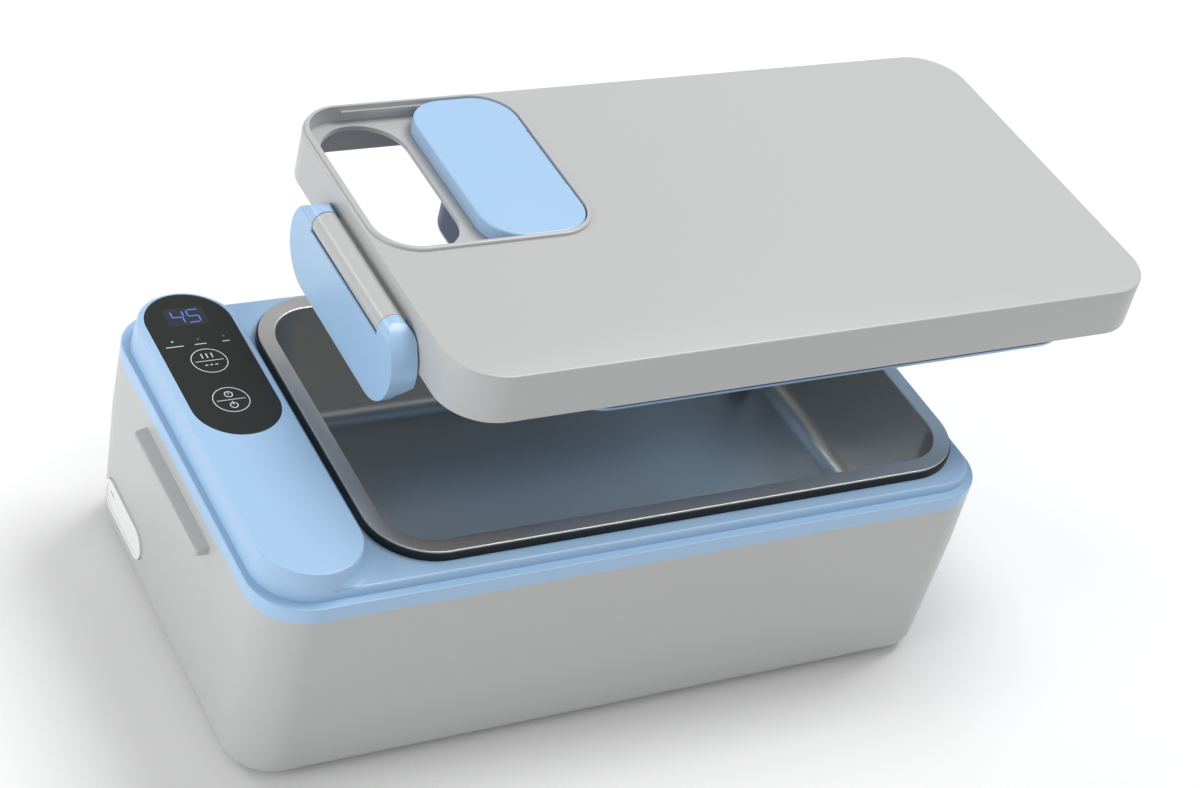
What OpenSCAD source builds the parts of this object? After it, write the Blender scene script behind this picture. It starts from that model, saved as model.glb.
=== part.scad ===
// Cordless heated lunch box with a lift-off lid, a steel tray and a touch panel.
// Origin: centre of the foot print, on the surface that the box stands on.
// +X runs along the box away from the touch panel, -Y is the front, +Z is up.

/* [Base] */
// Length of the base and of the lid
body_l = 250; // [240:1:262]
// Width of the base and of the lid, front to back
body_w = 138; // [134:1:146]
// Corner radius at the rim of the base and of the lid
corner_r = 17; // [15:0.5:20]
// Corner radius at the foot, where the tub draws in
foot_corner_r = 15; // [14:0.5:17]
// Radius between the tub's walls and its underside
foot_fillet = 6; // [5:0.5:8]
// How far each wall draws in on the way down to the foot
tub_draw = 1.8; // [1:0.1:2.4]
// Height of the seam between the tub and the deck frame
seam_z = 67; // [66:0.5:74]
// Wall thickness of the tub
tub_wall = 2.4; // [2:0.1:2.8]
// Height that the bottom cover and the feet stand out below the tub
foot_h = 1; // [0.6:0.1:1.4]
// Height of the smooth rim of the deck frame
rim_h = 5; // [4:0.5:7]
// Width of the ledge that carries the lid, at the ends
ledge_side = 2.2; // [2.1:0.1:3]
// Width of the ledge that carries the lid, front and back
ledge_front = 3; // [2.4:0.1:4]
// Height of the deck above the ledge
deck_step = 2.8; // [2.6:0.1:3.4]

/* [Touch panel] */
// Height of the control hump above the ledge
hump_h = 9.6; // [8.8:0.1:9.8]
// Width of the control hump
hump_w = 34.4; // [33.6:0.2:36]
// Width of the black touch panel
panel_w = 27.6; // [26:0.2:28.2]
// Length of the black touch panel
panel_l = 67.8; // [64:0.5:70]
// Thickness of the touch panel
panel_t = 1.6; // [1.2:0.1:1.7]

/* [Food tray] */
// Distance from the tray's rim to the front and back of the base
tray_margin = 8.4; // [8:0.2:11]
// Width of the tray's flat flange
flange_w = 5.2; // [4.6:0.1:6]
// Inside depth of the tray, below its flange
tray_depth = 47; // [38:1:48]
// Inside corner radius of the tray
tray_r = 17.5; // [15:0.5:22]
// Sheet thickness of the steel tray
steel_t = 0.7; // [0.6:0.1:0.8]
// How high the tray can be lifted under the raised lid
tray_travel = 20; // [10:1:20]

/* [Lid] */
// Height of the lid
lid_h = 16.7; // [16.4:0.1:19]
// Thickness of the lid's skirt
skirt_t = 1.9; // [1.6:0.1:1.9]
// How far the lid is held to the right of its closed place
lid_shift_x = 59.1; // [50:1:70]
// How far the lid is held behind its closed place
lid_shift_y = 20.2; // [15:1:30]
// How far the lid is held above its closed place
lid_lift = 42.1; // [42:0.5:50]
// How far the inner lid hangs below the skirt
plug_drop = 13.8; // [10:0.5:14.5]

/* [Panel window and its cover] */
// Depth of the recess from the lid's top to its floor
recess_d = 4.8; // [4.6:0.1:5]
// Length of the recess along the box
recess_l = 71.9; // [70.5:0.1:74]
// Width of the recess, front to back
recess_w = 73.8; // [72:0.2:75]
// Corner radius of the recess
recess_r = 13.2; // [12:0.2:14]
// Length of the sliding cover, along its travel
cover_l = 36; // [34:0.5:36.5]
// Height that the sliding cover stands above the lid
cover_proud = 0.6; // [0.3:0.1:1]

/* [Latch] */
// Length of the latch, front to back
latch_l = 78; // [74:1:84]
// Height of the latch
latch_h = 28.3; // [27.8:0.1:29]
// Thickness of the latch plate
latch_t = 3.3; // [2.8:0.1:3.5]
// Length of the hinge barrel
barrel_l = 50.6; // [46:0.2:54]
// Radius of the hinge barrel
barrel_r = 4.2; // [3.8:0.1:4.3]
// Diameter of the steel hinge pin
pin_d = 2.4; // [2:0.1:2.8]

/* [Charging port] */
// Length of the port cover along the wall
port_l = 33; // [30:0.5:36]
// Height of the port cover
port_h = 11.6; // [10.6:0.2:12.4]
// Height of the port's centre above the surface
port_z = 16.1; // [15.6:0.1:19]

/* [Battery] */
// Diameter of one cell
cell_d = 18.2; // [17.8:0.1:18.6]
// Length of one cell
cell_l = 65; // [64:0.5:67]

/* [Hidden] */
$fn = 64;

grey = "#B9BBB9";
blue = "#A9CBEA";
eps = 0.01;
gap = 0.3;               // free space between pieces that move past each other
snug = 0.15;             // free space between pieces that are fitted together

// heights of the base, from the surface up
tub_floor_z = foot_h + 4;
tub_band = 20;           // height of the straight band below the seam
ledge_z = seam_z + rim_h;
deck_z = ledge_z + deck_step;
deck_t = 2.4;
hump_z = ledge_z + hump_h;
hump_top_t = 3;
hump_wall = 2.6;
rim_wall = 2.2;
rim_edge = 0.9;
deck_edge = 0.8;
hump_edge = 0.6;
hump_lean = 1;           // how far the hump's walls lean inwards
cove_r = 3.2;
hump_x = -body_l / 2 + ledge_side + hump_w / 2;
hump_y0 = -body_w / 2 + ledge_front;
hump_y1 = body_w / 2 - skirt_t - gap;
hump_y = (hump_y0 + hump_y1) / 2;
hump_l = hump_y1 - hump_y0;

// touch panel, in the pocket at the back of the hump
panel_border = 2;        // from the hump's back end to the panel
panel_x = hump_x + 0.3;
panel_y = hump_y1 - panel_border - panel_l / 2;
display_size = [14, 9.2];
display_y = panel_y + panel_l / 2 - 11;
lens_d = 1.4;
lens_y = display_y - 11.2;
lens_pitch = 8.3;
board_size = [22, panel_l - 17, 1.6];

// food tray, between the hump and the right-hand end
tray_end_gap = 4.5;
hump_gap = 3.5;
flange_x0 = hump_x + hump_w / 2 + hump_gap;
flange_x1 = body_l / 2 - tray_end_gap;
flange_l = flange_x1 - flange_x0;
flange_wd = body_w - 2 * tray_margin;
tray_x = (flange_x0 + flange_x1) / 2;
tray_l = flange_l - 2 * flange_w;
tray_w = flange_wd - 2 * flange_w;
tray_draw = 1.5;         // how much each wall draws in towards the tray's floor
tray_fillet = 7;
flange_r = tray_r + flange_w;
ring_h = 2.6;            // height of the silicone ring above the deck
ring_out = 0.5;          // how far the ring stands out round the tray's flange
flange_z = deck_z + ring_h;
tray_top_z = flange_z + steel_t;
tray_floor_z = tray_top_z - tray_depth;

// heating well around the tray
well_gap = 0.5;
well_t = 1.3;
well_flange_t = 1.2;
well_top_z = deck_z + well_flange_t;
well_l = tray_l + 2 * (steel_t + well_gap);
well_w = tray_w + 2 * (steel_t + well_gap);
well_r = tray_r + steel_t + well_gap;
well_floor_z = tray_floor_z - steel_t - gap;
heater_t = 1.2;
heater_size = [150, 84];
heater_z = well_floor_z - well_t - heater_t;
cutout_d = 13;
cutout_x = tray_x + heater_size[0] / 2 - cutout_d;
felt_t = 2.4;
felt_gap = 0.2;
felt_z0 = heater_z + 8;
felt_z1 = seam_z - 6;

// battery pack on the bottom cover
cover_t = 2.4;
cover_plate = [164, 100];
cover_lip = 7;           // how far the plate's edge overlaps the tub's floor
cover_plate_r = 4;
screw_x = cover_plate[0] / 2 - cover_lip / 2;
screw_y = cover_plate[1] / 2 - cover_lip / 2;
screw_places = [for (sx = [-1, 0, 1], sy = [-1, 1]) [sx * screw_x, sy * screw_y]];
screw_d = 3;
screw_head_d = 5.6;
screw_head_h = 1.3;
screw_l = 9;
screw_sink = 0.1;        // the heads sit this far inside the cover's face
screw_boss_d = 7;
screw_boss_h = 7;
foot_d = 12;
foot_seat = 0.6;
foot_x = cover_plate[0] / 2 + foot_d / 2 + 8;
foot_y = cover_plate[1] / 2 - foot_d;
cell_rows = 4;
cell_columns = 2;
cell_pitch = cell_d + 0.6;
cradle_t = 1.2;
cradle_z = cover_t;
cell_z = cradle_z + cradle_t + snug + cell_d / 2;
cradle_l = cell_columns * (cell_l + 2) + 2 * cradle_t;
cradle_w = cell_rows * cell_pitch + 2 * cradle_t;
cradle_h = 7;

// electronics beside the well
board_x = -body_l / 2 + 21;
power_board_size = [24, 44, 1.6];
power_board_y = -20;
power_board_z = 30;
coil_size = [12, 12, 9];
can_d = 8;
board_leg_d = 4;
socket_size = [9, 9.2, 3.4];
socket_board = [13, 14, 1.6];

// charging port in the left wall
port_y = 37.4;
port_recess = 1.6;
port_proud = 0.7;
port_hole = [12, 6.4];

// lid, in its own frame: origin at the middle of the skirt's lower edge
lid_place = [lid_shift_x, lid_shift_y, ledge_z + lid_lift];
lid_top_t = 2;
lid_edge = 0.7;
recess_x0 = -body_l / 2 + 2.5;
recess_x = recess_x0 + recess_l / 2;
recess_y1 = body_w / 2 - 4.4;
recess_y = recess_y1 - recess_w / 2;
recess_floor_z = lid_h - recess_d;
recess_floor_t = 1.6;
lip_w = 1.8;
lip_h = 1.7;
window_w = panel_w + 1.2;
window_l = panel_l - 1.6;
window_x = panel_x + 0.3;
window_y = panel_y - 0.4;
rail_h = 0.8;
rail_d = 0.9;
rail_z = recess_floor_z + 3.2;
rail_x0 = recess_x0 + recess_r + 1.8;
rail_x1 = recess_x0 + recess_l - recess_r;
cover_w = recess_w - 2 * snug - 0.2;
cover_r = recess_r - 0.25;
cover_z0 = recess_floor_z + gap;
cover_z1 = lid_h + cover_proud;
cover_x = recess_x0 + recess_l - 0.35 - cover_l / 2;
nick_l = 28;             // finger nick on the right-hand edge of the cover

// inner lid, which closes the tray
plug_gap = 0.9;
plug_l = tray_l - 2 * plug_gap;
plug_w = tray_w - 2 * plug_gap;
plug_r = tray_r - plug_gap;
plug_t = 1.8;
gasket_w = 3.4;
gasket_h = 1.4;
gasket_z = tray_top_z - ledge_z + 0.1;
plate_z = gasket_z + gasket_h;
plate_t = 1.6;
plate_l = flange_l + 1.6;
plate_w = flange_wd + 1.6;
post_d = 7;
post_y = plug_w / 2 + 3.4;

// latch, hinged on the left-hand end of the lid
hinge_x = -body_l / 2 - 4.7;
hinge_y = -4.5;
hinge_z = 8;
ear_r = barrel_r + 0.1;
ear_in = 4.1;            // how far the ears reach towards the lid from the hinge line
plate_x0 = hinge_x - ear_r;
latch_top = hinge_z + ear_r;
latch_bottom = latch_top - latch_h;
notch_z = hinge_z - barrel_r - 1.2;
hook_h = 2.8;
hook_reach = 1.4;        // gap left between the hook and the lid's end face
pin_gap = 0.05;
pin_l = latch_l - 14;

// catch rib on the tub that the latch hooks under
catch_l = 55;
catch_out = 4.4;
catch_z0 = ledge_z + latch_bottom + hook_h + 0.4;
catch_z1 = catch_z0 + 3.3;

// tongues at the right-hand end of the lid, which go in under the deck's edge
tongue = [1.1, 12, 1.2];
tongue_y = 38;

// ---- shapes that are used again and again ----

// flat plate with round corners
module rounded(l, w, r) {
    union() {
        square([l - 2 * r, w], center = true);
        square([l, w - 2 * r], center = true);
        for (sx = [-1, 1], sy = [-1, 1])
            translate([sx * (l / 2 - r), sy * (w / 2 - r)]) circle(r = r);
    }
}

// block with round corners standing on z0
module block(l, w, r, z0, z1) {
    translate([0, 0, z0]) linear_extrude(z1 - z0) rounded(l, w, r);
}

// rounded frame between two outlines
module frame_ring(l, w, r, t, z0, z1) {
    translate([0, 0, z0]) linear_extrude(z1 - z0) difference() {
        rounded(l, w, r);
        rounded(l - 2 * t, w - 2 * t, r - t);
    }
}

// a flat profile carried round a rounded outline: x = 0 is the outline, y is height
module swept(l, w, r) {
    for (i = [0:3]) {
        a = i % 2 == 0 ? l : w;
        b = i % 2 == 0 ? w : l;
        rotate(90 * i) {
            translate([a / 2 - r, b / 2 - r, 0])
                rotate_extrude(angle = 90) translate([r, 0]) children();
            translate([a / 2, b / 2 - r, 0])
                rotate([90, 0, 0]) linear_extrude(b - 2 * r) children();
        }
    }
}

// block with round corners whose upper edge is rounded over by f
module domed_block(l, w, r, z0, z1, f) {
    block(l, w, r, z0, z1 - f);
    block(l - 2 * f, w - 2 * f, r - f, z1 - f - eps, z1);
    swept(l, w, r) edge_round(f, z1);
}

// upper edge of a wall, rounded over by f: x = 0 is the wall's face
module edge_round(f, z1) {
    intersection() {
        translate([-f, z1 - f]) circle(r = f);
        translate([-f - eps, z1 - f - eps]) square(f + 2 * eps);
    }
}

// block with half-round ends: its walls lean inwards and its upper edge is rounded over by f
module domed_stadium(l, w, z0, z1, f, lean) {
    core = lean + f;
    translate([0, 0, z0]) linear_extrude(z1 - z0) stadium(l - 2 * core, w - 2 * core);
    swept_stadium(l, w) leaning_side(z0, z1, f, lean);
}

// a flat profile carried round a stadium outline: x = 0 is the outline, y is height
module swept_stadium(l, w) {
    for (turn = [0, 180]) rotate(turn) {
        translate([0, (l - w) / 2, 0]) rotate_extrude(angle = 180) translate([w / 2, 0]) children();
        translate([w / 2, (l - w) / 2, 0]) rotate([90, 0, 0]) linear_extrude(l - w) children();
    }
}

module leaning_side(z0, z1, f, lean) {
    translate([-lean, 0]) edge_round(f, z1);
    polygon([[-lean - f - eps, z0], [0, z0], [-lean, z1 - f], [-lean - f - eps, z1 - f]]);
}

// open bowl shape that draws in towards its rounded foot
module drawn_block(l, w, r, z0, z1, band, foot_r, fillet, draw) {
    hull() {
        block(l, w, r, z1 - band, z1, $fn = 40);
        for (sx = [-1, 1], sy = [-1, 1])
            translate([sx * (l / 2 - draw - foot_r), sy * (w / 2 - draw - foot_r), z0 + fillet])
                rotate_extrude($fn = 40) translate([foot_r - fillet, 0]) circle(r = fillet, $fn = 24);
    }
}

// the tub's outer form, moved inwards by t
module tub_form(t, z0, z1) {
    drawn_block(body_l - 2 * t, body_w - 2 * t, corner_r - t, z0, z1, z1 - seam_z + tub_band,
                foot_corner_r - t, foot_fillet - t, tub_draw);
}

module stadium(l, w) {
    union() {
        square([w, l - w], center = true);
        for (s = [-1, 1]) translate([0, s * (l - w) / 2]) circle(d = w);
    }
}

module in_lid() {
    translate(lid_place) children();
}

// ---- base ----

// Moulded outer tub: drawn-in walls, catch rib, port pocket and the lip that holds the bottom cover
module base_tub() {
    color(grey) difference() {
        union() {
            difference() {
                tub_form(0, foot_h, seam_z);
                tub_form(tub_wall, tub_floor_z, seam_z + 1);
            }
            catch_rib();
            for (p = screw_places)
                translate([p[0], p[1], tub_floor_z - eps]) cylinder(d = screw_boss_d, h = screw_boss_h);
        }
        block(cover_plate[0] + 2 * snug, cover_plate[1] + 2 * snug, cover_plate_r + snug,
              -foot_h, cover_t);
        block(cover_plate[0] - 2 * cover_lip, cover_plate[1] - 2 * cover_lip, cover_plate_r,
              0, tub_floor_z + eps);
        for (p = screw_places)
            translate([p[0], p[1], 0]) cylinder(d = screw_d + pin_gap, h = screw_l + screw_sink + 1);
        foot_places() cylinder(d = foot_d + 2 * snug, h = foot_h + foot_seat);
        port_pocket(snug);
        translate([-body_l / 2 - 1, port_y - port_hole[0] / 2, port_z - port_hole[1] / 2])
            cube([8, port_hole[0], port_hole[1]]);
    }
}

// ramped rib under which the latch hooks
module catch_rib() {
    x0 = -body_l / 2;
    translate([0, catch_l / 2, 0]) rotate([90, 0, 0]) linear_extrude(catch_l)
        polygon([[x0 + 1, catch_z0], [x0 - catch_out + 0.6, catch_z0], [x0 - catch_out, catch_z0 + 0.6],
                 [x0 - catch_out, catch_z0 + 1.5], [x0 + 0.05, catch_z1], [x0 + 1, catch_z1]]);
}

module foot_places() {
    for (sx = [-1, 1], sy = [-1, 1])
        translate([sx * foot_x, sy * foot_y, 0]) children();
}

module port_outline(grow) {
    translate([-body_l / 2 - 6, port_y, port_z]) rotate([90, 0, 90])
        linear_extrude(20) rotate(90) stadium(port_l + 2 * grow, port_h + 2 * grow);
}

module port_pocket(grow) {
    difference() {
        port_outline(grow);
        tub_form(port_recess, foot_h + port_recess, seam_z);
    }
}

// Blue frame that closes the tub: rim, ledge, deck, control hump and well opening in one moulding
module deck_frame() {
    tx = ledge_side + rim_wall;
    ty = ledge_front + rim_wall;
    color(blue) difference() {
        union() {
            domed_block(body_l, body_w, corner_r, seam_z, ledge_z, rim_edge);
            deck_block(ledge_z - eps, deck_z);
            translate([hump_x, hump_y, 0])
                domed_stadium(hump_l, hump_w, ledge_z, hump_z, hump_edge, hump_lean);
            hump_cove();
            frame_ring(body_l - 2 * (tub_wall + snug), body_w - 2 * (tub_wall + snug),
                       corner_r - tub_wall - snug, 1.8, seam_z - 5, seam_z + 1);
        }
        block(body_l - 2 * tx, body_w - 2 * ty, corner_r - tx, seam_z - 6, deck_z - deck_t);
        translate([hump_x, hump_y, seam_z])
            linear_extrude(hump_z - hump_top_t - seam_z)
                stadium(hump_l - 2 * hump_wall, hump_w - 2 * hump_wall);
        translate([tray_x, 0, 0])
            block(well_l + 2 * well_t + 1, well_w + 2 * well_t + 1, well_r + well_t + 0.5,
                  seam_z, deck_z + 1);
        translate([panel_x, panel_y, hump_z - panel_t])
            linear_extrude(panel_t + 1) stadium(panel_l + 2 * snug, panel_w + 2 * snug);
        translate([hump_x, display_y, hump_z - 2])
            cube([display_size[0] + 2 * snug, display_size[1] + 2 * snug, 2 * hump_top_t], center = true);
        lens_places() cylinder(d = lens_d + 2 * snug, h = 2 * hump_top_t, center = true);
        for (s = [-1, 1])
            translate([body_l / 2 - ledge_side - 1.6, s * tongue_y - tongue[1] / 2 - 0.5, ledge_z + 0.3])
                cube([3, tongue[1] + 1, tongue[2] + 0.6]);
    }
}

module deck_block(z0, z1) {
    domed_block(body_l - 2 * ledge_side, body_w - 2 * ledge_front, corner_r - ledge_side, z0, z1, deck_edge);
}

// hollow fillet where the hump meets the deck, kept within the deck's outline
module hump_cove() {
    intersection() {
        block(body_l - 2 * ledge_side - eps, body_w - 2 * ledge_front - eps, corner_r - ledge_side,
              ledge_z, hump_z);
        translate([hump_x, hump_y, 0]) swept_stadium(hump_l, hump_w) cove_profile();
    }
}

module cove_profile() {
    lean = hump_lean * (deck_step + cove_r) / (hump_h - hump_edge);
    difference() {
        translate([-lean - 1, deck_z - 1]) square([cove_r + 1, cove_r + 1]);
        translate([cove_r - lean, deck_z + cove_r]) circle(r = cove_r);
    }
}

module lens_places() {
    for (i = [-1:1]) translate([hump_x + i * lens_pitch, lens_y, hump_z]) children();
}

module bottom_cover() {
    color("#8E908E") difference() {
        block(cover_plate[0], cover_plate[1], cover_plate_r, 0, cover_t);
        for (p = screw_places) translate([p[0], p[1], -1]) {
            cylinder(d = screw_d + gap, h = cover_t + 2);
            cylinder(d = screw_head_d + gap, h = screw_head_h + screw_sink + 1);
        }
    }
}

module bottom_screws() {
    color("#9A9C9E") for (p = screw_places) translate([p[0], p[1], screw_sink]) difference() {
        union() {
            cylinder(d = screw_head_d, h = screw_head_h);
            cylinder(d = screw_d, h = screw_l);
        }
        for (a = [0, 90]) rotate(a) translate([-1.6, -0.35, -1]) cube([3.2, 0.7, 1.8]);
    }
}

module rubber_feet() {
    color("#D9D9D6") foot_places() cylinder(d = foot_d, h = foot_h + foot_seat);
}

module touch_panel() {
    color("#2B2D2C") difference() {
        translate([panel_x, panel_y, hump_z - panel_t]) linear_extrude(panel_t) stadium(panel_l, panel_w);
        lens_places() cylinder(d = lens_d + 2 * snug, h = 4 * panel_t, center = true);
    }
}

module display_module() {
    color("#20242C") translate([hump_x, display_y, hump_z - (panel_t + hump_top_t) / 2])
        cube([display_size[0], display_size[1], hump_top_t - panel_t], center = true);
}

module indicator_lenses() {
    color("#C9F2EA") lens_places() translate([0, 0, -hump_top_t]) cylinder(d = lens_d, h = hump_top_t);
}

module control_board() {
    top = hump_z - hump_top_t;
    chip = [7, 7, 1.2];
    plug = [16, 4, 2.8];
    color("#2E6B45") translate([hump_x, panel_y, top - board_size[2]]) {
        translate([0, 0, board_size[2] / 2]) cube(board_size, center = true);
        translate([0, -board_size[1] / 4, -chip[2] / 2]) cube(chip, center = true);
        translate([0, board_size[1] / 8, -plug[2] / 2]) cube(plug, center = true);
    }
}

// Black coated aluminium well that the tray drops into
module heating_well() {
    color("#1D1F20") translate([tray_x, 0, 0]) difference() {
        union() {
            drawn_block(well_l + 2 * well_t, well_w + 2 * well_t, well_r + well_t,
                        well_floor_z - well_t, well_top_z, 4,
                        well_r + well_t, tray_fillet + well_t, tray_draw);
            block(flange_l - 2.6, flange_wd - 2.6, flange_r - 1.3, deck_z, well_top_z);
        }
        drawn_block(well_l, well_w, well_r, well_floor_z, well_top_z + 5, 9,
                    well_r, tray_fillet, tray_draw);
    }
}

// Silicone ring that the tray's flange rests on
module tray_seat_ring() {
    color("#101112") translate([tray_x, 0, 0]) difference() {
        domed_block(flange_l + 2 * ring_out, flange_wd + 2 * ring_out, flange_r + ring_out,
                    deck_z, flange_z, 0.4);
        block(flange_l - 2.6, flange_wd - 2.6, flange_r - 1.3, deck_z - 1, well_top_z);
        block(well_l, well_w, well_r, deck_z, flange_z + 1);
    }
}

module heater_plate() {
    color("#B48A4A") {
        translate([tray_x, 0, 0]) block(heater_size[0], heater_size[1], 9, heater_z, heater_z + heater_t);
    }
}

module thermal_cutout() {
    flange_t = 1.2;
    can = [8, 5];
    tab = [3, 0.8, 8];
    color("#3A3C3E") translate([cutout_x, 0, heater_z]) {
        translate([0, 0, -flange_t]) cylinder(d = cutout_d, h = flange_t);
        translate([0, 0, -can[1]]) cylinder(d = can[0], h = can[1] - flange_t + eps);
        for (s = [-1, 1]) translate([0, s * (can[0] / 2 + tab[1] / 2 + gap), -tab[2] / 2 - flange_t / 2])
            cube([tab[0], tab[1], tab[2] - flange_t], center = true);
    }
}

module well_insulation() {
    color("#E3DFD2") translate([tray_x, 0, 0])
        frame_ring(well_l + 2 * (well_t + felt_gap + felt_t), well_w + 2 * (well_t + felt_gap + felt_t),
                   well_r + well_t + felt_gap + felt_t, felt_t, felt_z0, felt_z1);
}

// Open cradle that holds the cells side by side
module battery_cradle() {
    color("#5B5F63") difference() {
        block(cradle_l, cradle_w, 2, cradle_z, cradle_z + cradle_h);
        cells(snug);
    }
}

module cells(grow) {
    for (i = [0:cell_columns - 1], j = [0:cell_rows - 1])
        translate([(i - (cell_columns - 1) / 2) * (cell_l + 2) - cell_l / 2 - grow,
                   (j - (cell_rows - 1) / 2) * cell_pitch, cell_z])
            rotate([0, 90, 0]) cylinder(d = cell_d + 2 * grow, h = cell_l + 2 * grow);
}

module battery_cells() {
    color("#3C7FB5") cells(0);
}

module power_board() {
    color("#2E6B45") translate([board_x, power_board_y, power_board_z]) {
        cube(power_board_size, center = true);
        translate([3, -8, coil_size[2] / 2]) cube(coil_size, center = true);
        translate([-4, 12, 0]) cylinder(d = can_d, h = coil_size[2] + 2);
        for (sx = [-1, 1], sy = [-1, 1])
            translate([sx * 8, sy * (power_board_size[1] / 2 - 8), tub_floor_z - power_board_z])
                cylinder(d = board_leg_d, h = power_board_z - tub_floor_z);
    }
}

module charge_socket() {
    x0 = -body_l / 2 + tub_wall + tub_draw;
    z0 = port_z - socket_size[2] / 2;
    color("#A6A9AC") {
        difference() {
            translate([x0, port_y - socket_size[1] / 2, z0]) cube(socket_size);
            translate([x0 - 1, port_y - 4.2, port_z - 1.2]) cube([7, 8.4, 2.4]);
        }
        translate([x0 + 1.5, port_y - socket_board[1] / 2, z0 - socket_board[2]]) cube(socket_board);
        for (s = [-1, 1])
            translate([x0 + socket_board[0] - 3, port_y + s * (socket_board[1] / 2 - 2), tub_floor_z])
                cylinder(d = board_leg_d, h = z0 - socket_board[2] - tub_floor_z + eps);
    }
}

// White silicone cover over the charging port: it follows the tub's rounded end
module charge_port_cover() {
    color("#E6E6E4") union() {
        difference() {
            intersection() {
                port_outline(0);
                tub_form(-port_proud, foot_h - port_proud, seam_z);
            }
            tub_form(port_recess - snug, foot_h + port_recess - snug, seam_z);
        }
        translate([-body_l / 2 + tub_draw + port_recess - 0.2, port_y, port_z])
            cube([1.6, port_hole[0] - 2.4, port_hole[1] - 2], center = true);
    }
}

// ---- tray ----

// Deep-drawn steel tray with a flat flange and a turned-down edge
module food_tray() {
    color("#B4B6B8") translate([tray_x, 0, 0]) difference() {
        union() {
            drawn_block(tray_l + 2 * steel_t, tray_w + 2 * steel_t, tray_r + steel_t,
                        tray_floor_z - steel_t, tray_top_z - 0.1, 3, tray_r + steel_t,
                        tray_fillet, tray_draw);
            block(flange_l, flange_wd, flange_r, flange_z, tray_top_z);
        }
        drawn_block(tray_l, tray_w, tray_r, tray_floor_z, tray_top_z + 5, 8,
                    tray_r, tray_fillet - steel_t, tray_draw);
    }
}

// ---- lid ----

// Grey lid shell: skirt, recess with its raised lip, window, rails and hinge barrel
module lid_shell() {
    color(grey) in_lid() difference() {
        union() {
            difference() {
                domed_block(body_l, body_w, corner_r, 0, lid_h, lid_edge);
                difference() {
                    block(body_l - 2 * skirt_t, body_w - 2 * skirt_t, corner_r - skirt_t,
                          -1, lid_h - lid_top_t);
                    recess_block(recess_floor_t);
                    lid_posts();
                }
                translate([recess_x, recess_y, 0])
                    block(recess_l, recess_w, recess_r, recess_floor_z, lid_h + 1);
            }
            translate([recess_x, recess_y, lid_h - eps]) swept(recess_l, recess_w, recess_r) {
                translate([0, -0.6]) square([lip_w, lip_h - lip_w / 2 + 0.6]);
                translate([lip_w / 2, lip_h - lip_w / 2]) circle(d = lip_w);
            }
            cover_rails();
            at_hinge() hinge_barrel();
            for (s = [-1, 1])
                translate([body_l / 2 - skirt_t - tongue[0], s * tongue_y - tongue[1] / 2, 0.6])
                    cube([tongue[0] + eps, tongue[1], tongue[2]]);
        }
        translate([window_x, window_y, recess_floor_z - 4]) linear_extrude(8) stadium(window_l, window_w);
        at_hinge() hinge_bore();
    }
}

// posts that carry the inner lid
module lid_posts() {
    for (i = [-1:1], s = [-1, 1])
        translate([tray_x + i * (plug_l / 2 - 16), s * post_y, plate_z + plate_t])
            cylinder(d = post_d, h = lid_h);
}

// the part of the lid under the recess that stays solid
module recess_block(t) {
    translate([recess_x, recess_y, 0])
        block(recess_l + 2 * t, recess_w + 2 * t, recess_r + t, recess_floor_z - t, lid_h);
}

module cover_rails() {
    for (s = [-1, 1])
        translate([rail_x0, recess_y + s * (recess_w / 2 - rail_d / 2) - rail_d / 2 - eps, rail_z])
            cube([rail_x1 - rail_x0, rail_d + 2 * eps, rail_h]);
}

// moves the hinge's and the latch's forms to their place along the end wall
module at_hinge() {
    translate([0, hinge_y, 0]) children();
}

module hinge_barrel() {
    translate([hinge_x, barrel_l / 2, hinge_z]) rotate([90, 0, 0]) cylinder(r = barrel_r, h = barrel_l);
    translate([hinge_x, -barrel_l / 2, hinge_z - barrel_r + 0.8])
        cube([-body_l / 2 - hinge_x + 1, barrel_l, 2 * barrel_r - 1.6]);
}

module hinge_bore() {
    translate([hinge_x, pin_l / 2 + gap, hinge_z]) rotate([90, 0, 0])
        cylinder(d = pin_d + 2 * pin_gap, h = pin_l + 2 * gap);
}

// Blue inner lid: a flange plate and a shallow cup that closes the tray
module inner_lid() {
    color("#8DB9E2") in_lid() translate([tray_x, 0, 0]) difference() {
        union() {
            block(plate_l, plate_w, flange_r + 0.8, plate_z, plate_z + plate_t);
            block(plug_l, plug_w, plug_r, 2 - plug_drop, plate_z + eps);
            mirror([0, 0, 1]) domed_block(plug_l, plug_w, plug_r, 0, plug_drop, 2);
        }
        block(plug_l - 2 * plug_t, plug_w - 2 * plug_t, plug_r - plug_t,
              plug_t - plug_drop, plate_z + plate_t + 1);
    }
}

// Silicone gasket that presses on the tray's flange
module lid_gasket() {
    color("#DDE6EC") in_lid() translate([tray_x, 0, 0])
        frame_ring(tray_l + flange_w + gasket_w, tray_w + flange_w + gasket_w,
                   tray_r + (flange_w + gasket_w) / 2, gasket_w, gasket_z, plate_z);
}

module latch_pin() {
    color("#C4C6C8") in_lid() at_hinge() translate([hinge_x, pin_l / 2, hinge_z]) rotate([90, 0, 0])
        cylinder(d = pin_d, h = pin_l);
}

// Blue cover that slides over the touch panel's window
module panel_cover() {
    wall = 2.8;
    groove = rail_d + gap;
    color(blue) in_lid() translate([cover_x, recess_y, 0]) difference() {
        domed_block(cover_l, cover_w, cover_r, cover_z0, cover_z1, 0.8);
        block(cover_l - 2 * wall, cover_w - 2 * wall, cover_r - wall, cover_z0 - 1, cover_z1 - 1.6);
        for (s = [-1, 1])
            translate([0, s * (cover_w / 2 - groove / 2 + 0.5), rail_z + rail_h / 2])
                cube([cover_l + 2, groove + 1, rail_h + 2 * gap], center = true);
        translate([cover_l / 2 - 1.4, -nick_l / 2 + 3, cover_z1 - 0.8]) cube([2, nick_l, 2]);
    }
}

// ---- latch ----

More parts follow.
